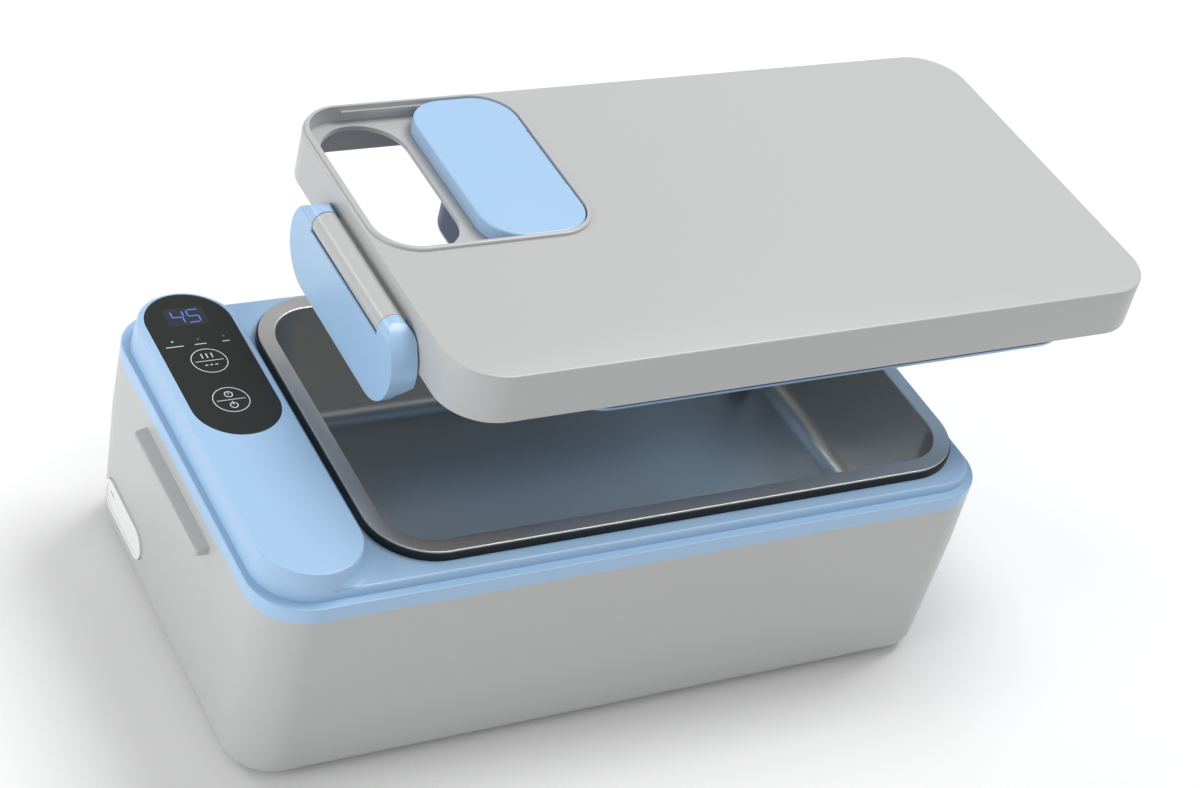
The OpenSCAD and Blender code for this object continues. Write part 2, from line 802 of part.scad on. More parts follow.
// Blue latch: a long plate with a hook, and two ears that turn on the pin
module latch() {
    color(blue) in_lid() at_hinge() difference() {
        intersection() {
            union() {
                translate([0, latch_l / 2, 0]) rotate([90, 0, 0]) linear_extrude(latch_l) ear_profile();
                translate([0, barrel_l / 2, 0]) rotate([90, 0, 0]) linear_extrude(barrel_l) hook_profile();
            }
            translate([hinge_x - 20, 0, (latch_top + latch_bottom) / 2]) rotate([90, 0, 90])
                linear_extrude(40) rotate(90) stadium(latch_l, latch_h);
        }
        translate([hinge_x - 10, -barrel_l / 2 - gap, notch_z]) cube([30, barrel_l + 2 * gap, 30]);
        translate([hinge_x - ear_r + latch_t, -barrel_l / 2 - gap, latch_bottom + hook_h])
            cube([30, barrel_l + 2 * gap, 30]);
        hinge_bore();
    }
}

// side view of an ear, looking along the hinge line
module ear_profile() {
    translate([hinge_x, hinge_z]) circle(r = ear_r);
    polygon([[plate_x0, hinge_z], [plate_x0, latch_bottom], [plate_x0 + latch_t, latch_bottom],
             [plate_x0 + latch_t, hinge_z - 19], [hinge_x + ear_in, hinge_z - 13.5],
             [hinge_x + ear_in, hinge_z], [hinge_x, hinge_z + 1]]);
}

module hook_profile() {
    tip = -body_l / 2 - hook_reach;
    polygon([[plate_x0, latch_bottom], [plate_x0, latch_bottom + hook_h], [tip, latch_bottom + hook_h],
             [tip, latch_bottom + hook_h - 1], [tip - 2, latch_bottom]]);
}

base_tub();
deck_frame();
bottom_cover();
bottom_screws();
rubber_feet();
touch_panel();
display_module();
indicator_lenses();
control_board();
heating_well();
tray_seat_ring();
heater_plate();
thermal_cutout();
well_insulation();
battery_cradle();
battery_cells();
power_board();
charge_socket();
charge_port_cover();
food_tray();
lid_shell();
inner_lid();
lid_gasket();
latch_pin();
panel_cover();
latch();
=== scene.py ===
# %% [markdown]
# # A cordless heated lunch box
# The model comes in two layers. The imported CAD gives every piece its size, its place and its joints.
# This lesson gives the pieces in view their finished shapes and surfaces. Each step makes one piece
# from a primitive, shapes it with edit-mode operators, and lets it ride on the CAD body that it belongs to.

# %% Load the frame
import math

import bpy
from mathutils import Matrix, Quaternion, Vector


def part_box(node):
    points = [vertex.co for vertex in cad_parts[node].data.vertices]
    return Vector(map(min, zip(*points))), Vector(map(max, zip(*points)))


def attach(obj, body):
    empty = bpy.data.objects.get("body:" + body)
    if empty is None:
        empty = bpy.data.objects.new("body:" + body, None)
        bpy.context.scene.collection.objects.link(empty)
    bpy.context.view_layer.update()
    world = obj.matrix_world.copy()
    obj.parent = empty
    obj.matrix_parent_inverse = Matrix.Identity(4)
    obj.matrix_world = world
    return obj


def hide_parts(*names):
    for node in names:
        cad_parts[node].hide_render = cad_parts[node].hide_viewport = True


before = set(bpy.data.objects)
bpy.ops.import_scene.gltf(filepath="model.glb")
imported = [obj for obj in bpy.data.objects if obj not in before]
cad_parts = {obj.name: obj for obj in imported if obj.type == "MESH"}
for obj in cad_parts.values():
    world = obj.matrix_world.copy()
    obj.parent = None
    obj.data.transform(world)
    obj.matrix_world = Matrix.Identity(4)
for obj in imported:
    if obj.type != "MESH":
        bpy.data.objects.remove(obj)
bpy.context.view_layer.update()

MM = 0.001

# %% [markdown]
# ## Places taken from the frame
# A moulded piece is easier to draw from its middle than from the world's origin. The corners of the CAD
# nodes give those middles and levels, so each piece lands where its joint expects it.

# %% Read the main levels and middles
tub_low, tub_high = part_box("base_tub")
deck_low, deck_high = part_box("deck_frame")
tray_low, tray_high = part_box("food_tray")
lid_low, lid_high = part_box("lid_shell")
panel_low, panel_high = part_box("touch_panel")
ring_low, ring_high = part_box("tray_seat_ring")

body_l = (deck_high[0] - deck_low[0]) / MM
body_w = (deck_high[1] - deck_low[1]) / MM
seam_z = tub_high[2] / MM
hump_z = deck_high[2] / MM
lid_at = Vector((lid_high[0] - body_l * MM / 2, (lid_low[1] + lid_high[1]) / 2, lid_low[2])) / MM
print("base", round(body_l, 1), "x", round(body_w, 1), "mm, seam at", round(seam_z, 1), "lid at", lid_at)

# %% [markdown]
# ## Tools for moulded shapes
# Nearly every piece here is a plate with round corners that is pushed up, drawn in or hollowed out. So
# the helpers do just that: start a flat outline, then inset and lift its face step by step. A quarter
# circle of small steps makes a rounded edge, with no guesswork from a bevel on a finished mesh.


# %% Helpers to pick, start and push a form
TOUCH = 0.1  # vertices this near to a level or a side, in millimetres, count as lying on it
SHADE_ANGLE = math.radians(35)  # edges flatter than this are shaded smoothly


def drop_all():
    """Nothing is selected or active afterwards, in object mode."""
    active = bpy.context.view_layer.objects.active
    if active is not None and active.mode != "OBJECT":
        bpy.ops.object.mode_set(mode="OBJECT")
    bpy.ops.object.select_all(action="DESELECT")


def pick(piece):
    """Selects one piece and makes it active."""
    drop_all()
    piece.select_set(True)
    bpy.context.view_layer.objects.active = piece


def pick_vertices(piece, test):
    """Picks the vertices whose place in millimetres passes the test, and stays in edit mode."""
    bpy.ops.mesh.select_mode(type="VERT")
    bpy.ops.mesh.select_all(action="DESELECT")
    bpy.ops.object.mode_set(mode="OBJECT")
    for vertex in piece.data.vertices:
        vertex.select = test(vertex.co / MM)
    bpy.ops.object.mode_set(mode="EDIT")


def start_outline(name, middle, length, width, corner, height, steps=12, left_corner=None):
    """A level face with round corners. It stays in edit mode with the face picked."""
    drop_all()
    bpy.ops.mesh.primitive_plane_add(size=1, location=(0, 0, 0))
    piece = bpy.context.object
    piece.name = name
    bpy.ops.object.mode_set(mode="EDIT")
    bpy.ops.mesh.select_mode(type="VERT")
    bpy.ops.mesh.select_all(action="SELECT")
    bpy.ops.transform.resize(value=(length * MM, width * MM, 1))
    for side, radius in ((-1, left_corner or corner), (1, corner)):
        pick_vertices(piece, lambda at: at.x * side > length / 2 - TOUCH)
        bpy.ops.mesh.bevel(offset=radius * MM, segments=steps, affect="VERTICES", profile=0.5)
    bpy.ops.mesh.select_all(action="SELECT")
    bpy.ops.transform.translate(value=(middle[0] * MM, middle[1] * MM, height * MM))
    bpy.ops.mesh.select_mode(type="FACE")
    bpy.ops.mesh.select_all(action="SELECT")
    return piece


def start_stadium(name, middle, width, length, height, steps=12):
    """A level face with half-round ends, long along Y: a circle whose two halves are moved apart."""
    drop_all()
    half_step = math.pi / (4 * steps)
    bpy.ops.mesh.primitive_circle_add(vertices=4 * steps, radius=width / 2 * MM, fill_type="NGON")
    piece = bpy.context.object
    piece.name = name
    bpy.ops.object.mode_set(mode="EDIT")
    bpy.ops.mesh.select_mode(type="VERT")
    bpy.ops.mesh.select_all(action="SELECT")
    bpy.ops.transform.rotate(value=half_step, orient_axis="Z", center_override=(0, 0, 0))
    bpy.ops.transform.resize(value=(1 / math.cos(half_step), 1, 1), center_override=(0, 0, 0))
    for side in (-1, 1):
        pick_vertices(piece, lambda at: at.y * side > 0)
        bpy.ops.transform.translate(value=(0, side * (length - width) / 2 * MM, 0))
    bpy.ops.mesh.select_all(action="SELECT")
    bpy.ops.transform.translate(value=(middle[0] * MM, middle[1] * MM, height * MM))
    bpy.ops.mesh.select_mode(type="FACE")
    bpy.ops.mesh.select_all(action="SELECT")
    return piece


def lift(rise):
    """Extrudes the picked face straight up or down, in millimetres."""
    bpy.ops.mesh.extrude_region_move(TRANSFORM_OT_translate={"value": (0, 0, rise * MM)})


def draw_in(inward, rise):
    """Insets the picked face and moves the inner one up or down, in millimetres."""
    bpy.ops.mesh.inset(thickness=inward * MM, depth=0)
    bpy.ops.transform.translate(value=(0, 0, rise * MM))


def round_edge(radius, way=1, steps=6):
    """From a wall to a flat, as a quarter circle: way is 1 upwards and -1 downwards."""
    for i in range(steps):
        a, b = (math.pi / 2 * k / steps for k in (i, i + 1))
        draw_in(radius * (math.cos(a) - math.cos(b)), way * radius * (math.sin(b) - math.sin(a)))


def roll_over(radius, way=-1, steps=6):
    """From a flat into a wall, as a quarter circle: way is -1 where the wall goes down."""
    for i in range(steps):
        a, b = (math.pi / 2 * k / steps for k in (i, i + 1))
        draw_in(radius * (math.sin(b) - math.sin(a)), way * radius * (math.cos(a) - math.cos(b)))


def pick_face(piece, height, way=0):
    """Picks the level faces at that height. way 1 keeps those that face up, -1 those that face down."""
    bpy.ops.mesh.select_all(action="DESELECT")
    bpy.ops.object.mode_set(mode="OBJECT")
    for face in piece.data.polygons:
        level = abs(face.center.z / MM - height) < 0.01 and abs(face.normal.z) > 0.99
        face.select = level and face.normal.z * way >= 0
    bpy.ops.object.mode_set(mode="EDIT")


def make_solid():
    """Merges doubles and turns every face outwards, then leaves edit mode."""
    bpy.ops.mesh.select_all(action="SELECT")
    bpy.ops.mesh.remove_doubles(threshold=0.002 * MM)
    bpy.ops.mesh.normals_make_consistent(inside=False)
    bpy.ops.object.mode_set(mode="OBJECT")


def move_mesh(piece, place):
    """Moves a mesh to its place, in millimetres, and leaves its object at the origin."""
    pick(piece)
    bpy.ops.transform.translate(value=Vector(place) * MM)
    bpy.ops.object.transform_apply(location=True, rotation=True, scale=True)


# %% [markdown]
# Closed forms are joined and cut with the Boolean modifier. Its exact solver is slower than the fast one,
# but it copes with faces that touch, and these pieces have many of those. What is still sharp afterwards
# gets a small bevel, because no moulded edge is perfectly sharp.


# %% Helpers to join, cut and finish a piece
def combine(piece, tool, operation):
    """Joins the tool to a piece, cuts it away or keeps what both share. The tool is used up."""
    pick(piece)
    change = piece.modifiers.new("combine", "BOOLEAN")
    change.operation = operation
    change.solver = "EXACT"
    change.object = tool
    bpy.ops.object.modifier_apply(modifier=change.name)
    bpy.data.objects.remove(tool, do_unlink=True)


def soften(piece, radius, angle=40, steps=3):
    """Rounds what is still sharp, as a mould does, and shades the piece smoothly."""
    pick(piece)
    edge = piece.modifiers.new("edge", "BEVEL")
    edge.width = radius * MM
    edge.segments = steps
    edge.limit_method = "ANGLE"
    edge.angle_limit = math.radians(angle)
    edge.harden_normals = True
    bpy.ops.object.shade_smooth_by_angle(angle=SHADE_ANGLE)
    bpy.ops.object.modifier_apply(modifier=edge.name)


def smooth(piece):
    """Smooth shading in which the large flat faces stay flat."""
    pick(piece)
    bpy.ops.object.shade_smooth_by_angle(angle=SHADE_ANGLE)
    level = piece.modifiers.new("level", "WEIGHTED_NORMAL")
    level.keep_sharp = True
    bpy.ops.object.modifier_apply(modifier=level.name)


def join_all(pieces, name):
    """Joins several meshes into one named piece."""
    drop_all()
    for piece in pieces:
        piece.select_set(True)
    bpy.context.view_layer.objects.active = pieces[0]
    bpy.ops.object.join()
    whole = bpy.context.object
    whole.name = name
    return whole


def finish_piece(piece, body, finish, slot, *nodes):
    """Gives the piece its finish and its body, and hides the CAD nodes that it stands for."""
    piece.data.materials.clear()
    piece.data.materials.append(finish)
    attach(piece, body)
    if nodes:
        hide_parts(*nodes)
    low = [min(v.co[i] for v in piece.data.vertices) / MM for i in range(3)]
    high = [max(v.co[i] for v in piece.data.vertices) / MM for i in range(3)]
    print(piece.name, [round(h - b, 1) for b, h in zip(low, high)], len(piece.data.polygons), "faces")


def block(name, low, high):
    """A plain box between two corners in millimetres, as a tool or a small piece."""
    drop_all()
    bpy.ops.mesh.primitive_cube_add(size=1)
    piece = bpy.context.object
    piece.name = name
    piece.location = [(a + b) / 2 * MM for a, b in zip(low, high)]
    piece.scale = [(b - a) * MM for a, b in zip(low, high)]
    bpy.ops.object.transform_apply(location=True, rotation=True, scale=True)
    return piece


ALONG_Y, UPRIGHT = (math.pi / 2, 0, 0), (0, 0, 0)


def rod(name, middle, radius, length, turn=ALONG_Y, sides=64):
    """A cylinder that lies along Y, or stands up where turn is UPRIGHT."""
    drop_all()
    bpy.ops.mesh.primitive_cylinder_add(vertices=sides, radius=radius * MM, depth=length * MM,
                                        rotation=turn)
    piece = bpy.context.object
    piece.name = name
    piece.location = [v * MM for v in middle]
    bpy.ops.object.transform_apply(location=True, rotation=True, scale=True)
    return piece


def prism(name, middle, length, width, corner, low, high, steps=12, left_corner=None):
    """A plate with round corners between two levels, as a tool for cutting and joining."""
    piece = start_outline(name, middle, length, width, corner, low, steps, left_corner)
    lift(high - low)
    make_solid()
    return piece


def stadium_prism(name, middle, width, length, low, high, steps=12):
    """A plate with half-round ends between two levels."""
    piece = start_stadium(name, middle, width, length, low, steps)
    lift(high - low)
    make_solid()
    return piece


def stand_up(piece):
    """Turns a lying plate so that its thickness runs along X, with its middle at the origin."""
    pick(piece)
    bpy.ops.transform.rotate(value=math.pi / 2, orient_axis="Y", center_override=(0, 0, 0))
    bpy.ops.object.transform_apply(location=True, rotation=True, scale=True)
    ends = [v.co.x / MM for v in piece.data.vertices]
    move_mesh(piece, (-(min(ends) + max(ends)) / 2, 0, 0))


# %% [markdown]
# ## Finishes
# Each finish starts from what the real one is. Colours are written as sRGB, as they would be picked on a
# screen, and one function turns them to the linear numbers that a shader works in. Patterns are sized in
# millimetres on Object coordinates, so they keep their scale when the piece moves.

# %% Helpers for finishes
SURFACES = {}


def linear(colour):
    """An sRGB hex colour as the linear numbers that a shader reads."""
    parts = [int(colour[i:i + 2], 16) / 255 for i in (1, 3, 5)]
    return [p / 12.92 if p <= 0.04045 else ((p + 0.055) / 1.055) ** 2.4 for p in parts] + [1.0]


def add_node(tree, kind, values=None, links=None, **settings):
    """One shader node, with its settings, its socket values and what feeds it."""
    new = tree.nodes.new(kind)
    for key, value in settings.items():
        setattr(new, key, value)
    for key, value in (values or {}).items():
        new.inputs[key].default_value = value
    for key, source in (links or {}).items():
        tree.links.new(source, new.inputs[key])
    return new


def start_finish(name, colour, roughness, **values):
    """A finish with one Principled shader. Returns the material, its tree and the shader."""
    finish = bpy.data.materials.new(name)
    finish.use_nodes = True
    tree = finish.node_tree
    shader = tree.nodes["Principled BSDF"]
    shader.inputs["Base Color"].default_value = linear(colour)
    shader.inputs["Roughness"].default_value = roughness
    for key, value in values.items():
        shader.inputs[key.replace("_", " ")].default_value = value
    finish.diffuse_color = linear(colour)
    SURFACES[name] = finish
    return finish, tree, shader


def add_grain(tree, shader, size, height, stretch=(1, 1, 1)):
    """Fine relief: size is the width of a grain and height how deep it reads, both in millimetres."""
    place = add_node(tree, "ShaderNodeTexCoord").outputs["Object"]
    spread = add_node(tree, "ShaderNodeMapping", {"Scale": stretch}, {"Vector": place})
    noise = add_node(tree, "ShaderNodeTexNoise", {"Scale": 1 / (size * MM), "Detail": 2.0},
                     {"Vector": spread.outputs["Vector"]})
    bump = add_node(tree, "ShaderNodeBump", {"Strength": 1.0, "Distance": height * MM},
                    {"Height": noise.outputs["Fac"]})
    tree.links.new(bump.outputs["Normal"], shader.inputs["Normal"])


# %% [markdown]
# ### Moulded ABS
# The shells are ABS from a spark-eroded mould. That leaves an even, very fine grain and a silky gloss.
# The real grain is about 0.05 mm; it is drawn at 0.5 mm so that it doesn't vanish between pixels.

# %% Make the shell plastics
MOULD_GRAIN = (0.5, 0.006)
grey_abs, tree, shader = start_finish("grey_moulded_abs", "#BBBCBC", 0.31, IOR=1.52)
add_grain(tree, shader, *MOULD_GRAIN)
blue_abs, tree, shader = start_finish("blue_moulded_abs", "#A4C6E7", 0.29, IOR=1.52)
add_grain(tree, shader, *MOULD_GRAIN)
# Painted shade: the frame's blue made darker, to stand for the deep shade under the lid's shell.
painted_shade_blue, tree, shader = start_finish("blue_abs_painted_shade", "#22406F", 0.4, IOR=1.45)
add_grain(tree, shader, *MOULD_GRAIN)
dark_abs, tree, shader = start_finish("dark_moulded_abs", "#5B5F63", 0.5, IOR=1.52)
add_grain(tree, shader, *MOULD_GRAIN)
print("plastics:", ", ".join(SURFACES))

# %% [markdown]
# ### Steel
# The tray is drawn from thin stainless sheet. Its lines run along the box and are much longer than they
# are wide, so the noise is stretched along X, and they are so shallow that they only blur what the steel
# mirrors. The pin, screws and socket are plain plated steel.

# %% Make the steels
tray_steel, tree, shader = start_finish("satin_stainless_sheet", "#CFCFCD", 0.34, Metallic=1.0)
add_grain(tree, shader, 1.5, 0.001, stretch=(0.04, 1, 1))
pin_steel, tree, shader = start_finish("plated_steel", "#B9BABB", 0.25, Metallic=1.0)
heater_foil, tree, shader = start_finish("heater_laminate", "#B48A4A", 0.35, Metallic=0.6)

# %% [markdown]
# ### Silicone, felt and coatings
# Silicone is soft and scatters light under its surface, which reads as a chalky gloss. The well is
# aluminium under a black non-stick coating with a faint speckle.

# %% Make the soft and coated finishes
SILICONE_GRAIN = (0.8, 0.008)
white_silicone, tree, shader = start_finish("white_silicone", "#E9EAEA", 0.5, IOR=1.41)
add_grain(tree, shader, *SILICONE_GRAIN)
black_silicone, tree, shader = start_finish("black_silicone", "#0E1014", 0.42, IOR=1.41)
add_grain(tree, shader, *SILICONE_GRAIN)
well_coating, tree, shader = start_finish("black_nonstick_coating", "#1D1F20", 0.35)
add_grain(tree, shader, 0.6, 0.01)
felt, tree, shader = start_finish("needle_felt", "#DCD8CA", 0.95)
add_grain(tree, shader, 1.2, 0.2)

# %% [markdown]
# ### The touch panel
# The panel is a black acrylic window, printed from behind, so its colour lies under a clear gloss. The
# printed marks are white ink, and the digits and one lamp give their own light.

# %% Make the panel's finishes
panel_gloss, tree, shader = start_finish("black_acrylic", "#292B2A", 0.3, IOR=1.3)
display_dark, tree, shader = start_finish("display_window", "#33373C", 0.2, IOR=1.3)
white_ink, tree, shader = start_finish("white_ink", "#E2E4E4", 0.45)
digit_light, tree, shader = start_finish("digit_light", "#4058B0", 0.3)
shader.inputs["Emission Color"].default_value = linear("#6C86E0")
shader.inputs["Emission Strength"].default_value = 0.5
lamp_light, tree, shader = start_finish("lamp_light", "#4FB39A", 0.3)
shader.inputs["Emission Color"].default_value = linear("#6FE3CE")
shader.inputs["Emission Strength"].default_value = 0.45
clear_lens, tree, shader = start_finish("clear_lens", "#6E7170", 0.3, IOR=1.3)
board_mask, tree, shader = start_finish("green_solder_mask", "#2E6B45", 0.3)
cell_wrap, tree, shader = start_finish("cell_sleeve", "#3C7FB5", 0.28)
print(len(SURFACES), "finishes")

# %% [markdown]
# ## The tub
# The tub is moulded in grey ABS. Its walls stand straight under the seam and then draw in a little on
# the way down, and so do its corners. A plain taper can't do that: two outlines with different corner
# radii are bridged, and the foot is rounded with inset steps. A smaller form hollows it.

# %% Shape the tub's outer form
band = 20.0
rim_r, foot_r, foot_fillet = 17.0, 15.0, 6.0
foot_z = tub_low[2] / MM
side_draft = 1.8
tub_wall, tub_floor = 2.4, 5.0
reach = 2.0  # how far a cutting tool passes the face that it cuts


def tub_form(name, grow, low=foot_z, rise=0.0):
    """The tub's closed form, with every face moved outwards by grow millimetres."""
    upper = start_outline(name, (0, 0), body_l + 2 * grow, body_w + 2 * grow, rim_r + grow, seam_z - band)
    lift(band + rise)
    pick_face(upper, seam_z - band)
    bpy.ops.mesh.delete(type="FACE")
    bpy.ops.object.mode_set(mode="OBJECT")
    lower = start_outline(name + "_foot", (0, 0), body_l - 2 * side_draft + 2 * grow,
                          body_w - 2 * side_draft + 2 * grow, foot_r + grow, low + foot_fillet + grow)
    round_edge(foot_fillet + grow, way=-1, steps=8)
    bpy.ops.object.mode_set(mode="OBJECT")
    upper.select_set(True)
    lower.select_set(True)
    bpy.context.view_layer.objects.active = upper
    bpy.ops.object.join()
    bpy.ops.object.mode_set(mode="EDIT")
    bpy.ops.mesh.select_mode(type="EDGE")
    bpy.ops.mesh.select_all(action="DESELECT")
    bpy.ops.mesh.select_non_manifold()
    bpy.ops.mesh.bridge_edge_loops()
    bpy.ops.mesh.select_mode(type="FACE")
    make_solid()
    return upper


tub = tub_form("tub_shell", 0)
combine(tub, tub_form("tub_inside", -tub_wall, low=tub_floor, rise=reach), "DIFFERENCE")
print("tub wall", tub_wall, "mm, its floor at", tub_floor, "mm")

# %% [markdown]
# The underside has a pocket for the bottom cover and four shallow seats for the feet, and the latch end
# has a pocket that follows the wall at a constant depth. That last one is cut with a second, smaller tub:
# the stadium prism minus the smaller tub leaves exactly the slice of wall that goes.

# %% Cut the pockets
cover_low, cover_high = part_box("bottom_cover")
feet_low, feet_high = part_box("rubber_feet")
port_low, port_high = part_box("charge_port_cover")
fit, pocket_r = 0.15, 4.15
pocket_l, pocket_w = [(b - a) / MM + 2 * fit for a, b in zip(cover_low[:2], cover_high[:2])]
combine(tub, prism("cover_pocket", (0, 0), pocket_l, pocket_w, pocket_r, foot_z - reach,
                   cover_high[2] / MM), "DIFFERENCE")
pad_r, pad_fit, pad_sunk = 6, 0.1, 2
for x in (feet_low[0] / MM + pad_r, feet_high[0] / MM - pad_r):
    for y in (feet_low[1] / MM + pad_r, feet_high[1] / MM - pad_r):
        combine(tub, rod("foot_seat", (x, y, feet_high[2] / MM - pad_sunk / 2), pad_r + pad_fit, pad_sunk,
                         turn=UPRIGHT), "DIFFERENCE")

port_y = (port_low[1] + port_high[1]) / 2 / MM
port_z = (port_low[2] + port_high[2]) / 2 / MM
port_l = (port_high[1] - port_low[1]) / MM
port_h = (port_high[2] - port_low[2]) / MM
port_bar, port_in, port_gap, pocket_depth = 20, 4, 0.25, 1.6


def port_prism(name, grow):
    """A stadium-shaped bar along X at the charging port, long enough to pass through the wall."""
    bar = stadium_prism(name, (0, 0), port_h + 2 * grow, port_l + 2 * grow, 0, port_bar, steps=16)
    stand_up(bar)
    move_mesh(bar, (-body_l / 2 + port_in, port_y, port_z))
    return bar


def skin(name, depth):
    """The tub's form again, larger or smaller by depth on every side and at the foot."""
    return tub_form(name, depth, low=foot_z - depth)


pocket = port_prism("port_pocket", port_gap)
combine(pocket, skin("port_depth", -pocket_depth), "DIFFERENCE")
combine(tub, pocket, "DIFFERENCE")
soften(tub, 0.3, angle=50)
print("port pocket", round(port_l + 2 * port_gap, 1), "x", round(port_h + 2 * port_gap, 1), "mm")

# %% [markdown]
# The latch hooks under a rib on the end wall. It is a bar with a sloping top, so that the hook rides over
# it, and its ends are rounded.

# %% Shape the catch rib
rib_out = (deck_low[0] - tub_low[0]) / MM
rib_l, rib_low, rib_high = 55, 59.2, 62.5
rib_sunk, rib_end_r, rib_slope = 2.0, 1.4, 15
rib = prism("catch_rib", (-body_l / 2 + (rib_sunk - rib_out) / 2, 0), rib_out + rib_sunk, rib_l, rib_end_r,
            rib_low, rib_high)
bpy.ops.object.mode_set(mode="EDIT")
pick_vertices(rib, lambda at: at.z > rib_high - TOUCH)
bpy.ops.transform.rotate(value=math.radians(rib_slope), orient_axis="Y",
                         center_override=(-body_l / 2 * MM, 0, rib_high * MM))
bpy.ops.object.mode_set(mode="OBJECT")
soften(rib, 0.5)
finish_piece(tub, "base", grey_abs, "grey_plastic", "base_tub")
finish_piece(rib, "base", grey_abs, "grey_plastic")

# %% [markdown]
# ## The deck frame
# One blue moulding closes the tub: a smooth rim, a narrow ledge that carries the lid, the deck, and the
# hump that lifts the touch panel. The rim, the deck and the hump are drawn as three closed forms and then
# joined, because each has its own outline.

# %% Shape the rim, the deck and the hump
rim_h, rim_edge = 5.0, 0.5
ledge_side, ledge_front, ledge_back = 2.2, 3.0, 2.2
deck_edge = 0.8
ledge_z = seam_z + rim_h
deck_z = ring_low[2] / MM
deck_frame = start_outline("deck_moulding", (0, 0), body_l, body_w, rim_r, seam_z)
lift(rim_h - rim_edge)
round_edge(rim_edge, steps=4)
make_solid()

hump_w, hump_lean, hump_edge = 34.4, 1.0, 0.6
deck_lean = hump_lean * (deck_z - ledge_z) / (hump_z - ledge_z - hump_edge)
deck = start_outline("deck", (0, 0), body_l - 2 * ledge_side, body_w - 2 * ledge_front, rim_r - ledge_side,
                     ledge_z - 1, left_corner=hump_w / 2)
lift(1)
draw_in(deck_lean, deck_z - ledge_z - deck_edge)
round_edge(deck_edge)
make_solid()
combine(deck_frame, deck, "UNION")

hump_x = -body_l / 2 + ledge_side + hump_w / 2
hump_front, hump_back = -body_w / 2 + ledge_front, body_w / 2 - ledge_back
hump_at, hump_l = (hump_x, (hump_front + hump_back) / 2), hump_back - hump_front
hump = start_stadium("hump", hump_at, hump_w, hump_l, ledge_z - 0.5, steps=20)
lift(0.5)
draw_in(hump_lean, hump_z - ledge_z - hump_edge)
round_edge(hump_edge, steps=5)
make_solid()
print("hump", hump_w, "x", round(hump_l, 1), "mm, its top at", round(hump_z, 1), "mm")

# %% [markdown]
# Where the hump meets the deck the mould has a hollow fillet, which catches a soft highlight. It is a
# skirt drawn round the hump with concave steps, trimmed to the deck's own outline.

# %% Add the hollow fillet at the hump's foot
cove_r = 3.2
cove_out = cove_r - hump_lean * (deck_z + cove_r - ledge_z) / (hump_z - ledge_z - hump_edge)
cove = start_stadium("cove", hump_at, hump_w + 2 * cove_out, hump_l + 2 * cove_out, deck_z - 0.5, steps=20)
lift(0.5)
roll_over(cove_r, way=1, steps=8)
make_solid()
trim_in = deck_lean + 0.4
trim_l, trim_w = body_l - 2 * (ledge_side + trim_in), body_w - 2 * (ledge_front + trim_in)
combine(cove, prism("trim", (0, 0), trim_l, trim_w, rim_r - ledge_side - trim_in, deck_z - reach, hump_z,
                    left_corner=hump_w / 2 - trim_in), "INTERSECT")
combine(deck_frame, cove, "UNION")
combine(deck_frame, hump, "UNION")
print("hollow fillet", cove_r, "mm, it reaches out", round(cove_out, 1), "mm")

# %% [markdown]
# The opening for the heating well and the pocket for the touch panel are cut with prisms. Each prism
# passes the faces that it cuts, so that no face of the tool lies on a face of the frame.

# %% Cut the well opening and the panel pocket
tray_x = (tray_low[0] + tray_high[0]) / 2 / MM
flange_l = (tray_high[0] - tray_low[0]) / MM
flange_w = (tray_high[1] - tray_low[1]) / MM
well_in, well_r = 2, 18.5
combine(deck_frame, prism("well_opening", (tray_x, 0), flange_l - 2 * well_in, flange_w - 2 * well_in,
                          well_r, seam_z - 1, deck_z + reach), "DIFFERENCE")
panel_w = (panel_high[0] - panel_low[0]) / MM
panel_l = (panel_high[1] - panel_low[1]) / MM
panel_y = (panel_low[1] + panel_high[1]) / 2 / MM
panel_x = (panel_low[0] + panel_high[0]) / 2 / MM
panel_gap, panel_edge = 0.15, 0.25
combine(deck_frame, stadium_prism("panel_pocket", (panel_x, panel_y), panel_w + 2 * panel_gap,
                                  panel_l + 2 * panel_gap, panel_low[2] / MM, hump_z + 1, steps=20),
        "DIFFERENCE")
smooth(deck_frame)
finish_piece(deck_frame, "base", blue_abs, "blue_plastic", "deck_frame")

# %% [markdown]
# ## The touch panel and its marks
# The panel is a thin plate with half-round ends, flush with the hump. Its marks are printed, so they are
# slivers of geometry that stand a twentieth of a millimetre proud.

# %% Shape the panel
panel = start_stadium("panel_window", (panel_x, panel_y), panel_w, panel_l, panel_low[2] / MM, steps=20)
lift(panel_high[2] / MM - panel_low[2] / MM - panel_edge)
round_edge(panel_edge, steps=3)
make_solid()
smooth(panel)
finish_piece(panel, "base", panel_gloss, "black_panel", "touch_panel")
ink_z = panel_high[2] / MM
ink_t = 0.05

# %% [markdown]
# The display is a dark window, a little bluer than the panel. A seven-part digit is a set of bars with
# pointed ends, one at each place that is lit. The upper ones stand further right, so that the digit leans.

# %% Make the display and its digits
module_low, module_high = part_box("display_module")
window_at = ((module_low[0] + module_high[0]) / 2 / MM, (module_low[1] + module_high[1]) / 2 / MM)
window_l, window_w, window_r, window_t = 13.0, 8.6, 0.5, 0.02
window = start_outline("display_window", window_at, window_l, window_w, window_r, ink_z, steps=3)
lift(window_t)
make_solid()
finish_piece(window, "base", display_dark, "black_panel")

digit_w, digit_h, bar_t, bar_gap, lean = 3.7, 6.0, 0.46, 0.25, 0.16
digit_step = 5.1
# The parts of a digit, as (middle x, middle y, lies level), for a digit of unit width and height.
PARTS = {"top": (0, 0.5, True), "centre": (0, 0, True), "foot": (0, -0.5, True),
         "upper_left": (-0.5, 0.25, False), "upper_right": (0.5, 0.25, False),
         "lower_left": (-0.5, -0.25, False), "lower_right": (0.5, -0.25, False)}
FOUR = ("upper_left", "upper_right", "centre", "lower_right")
FIVE = ("top", "upper_left", "centre", "lower_right", "foot")


